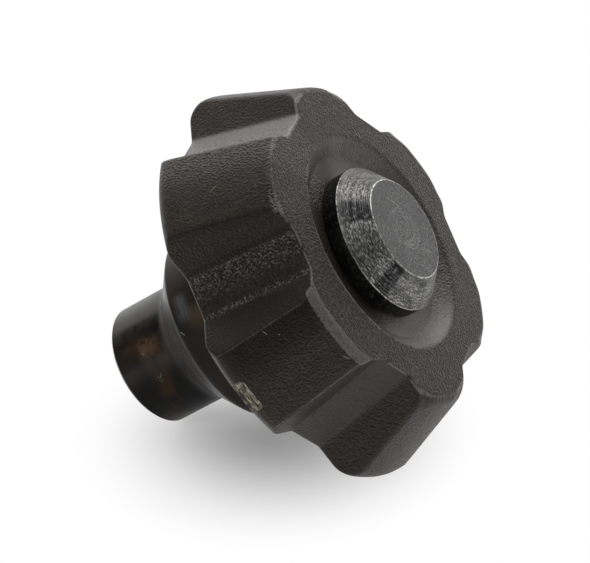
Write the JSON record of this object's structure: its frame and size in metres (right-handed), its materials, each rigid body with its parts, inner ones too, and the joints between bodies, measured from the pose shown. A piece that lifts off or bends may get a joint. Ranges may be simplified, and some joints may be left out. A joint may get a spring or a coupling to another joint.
{
  "type": "lobed grip knob",
  "caption": "Hand knob with a lobed moulded grip on a turned steel hub, a dished front closed by a coned steel cap, and a tapped hole in the hub's end to fasten it.",
  "frame": {"origin": "centre of the hub's end face, on the knob's axis", "axes": "+Z along the knob's axis, from the hub's end face to the cap"},
  "size_m": [0.0652, 0.065, 0.0523],
  "materials": {
    "grained_moulding": "grained satin moulding, dark warm grey",
    "blackened_hub_steel": "glossy black oxide with brown heat tint",
    "worn_cap_steel": "worn black oxide over turning marks"
  },
  "bodies": {
    "root": {"grip": "grained_moulding", "hub": "blackened_hub_steel", "cap": "worn_cap_steel"}
  },
  "joints": []
}
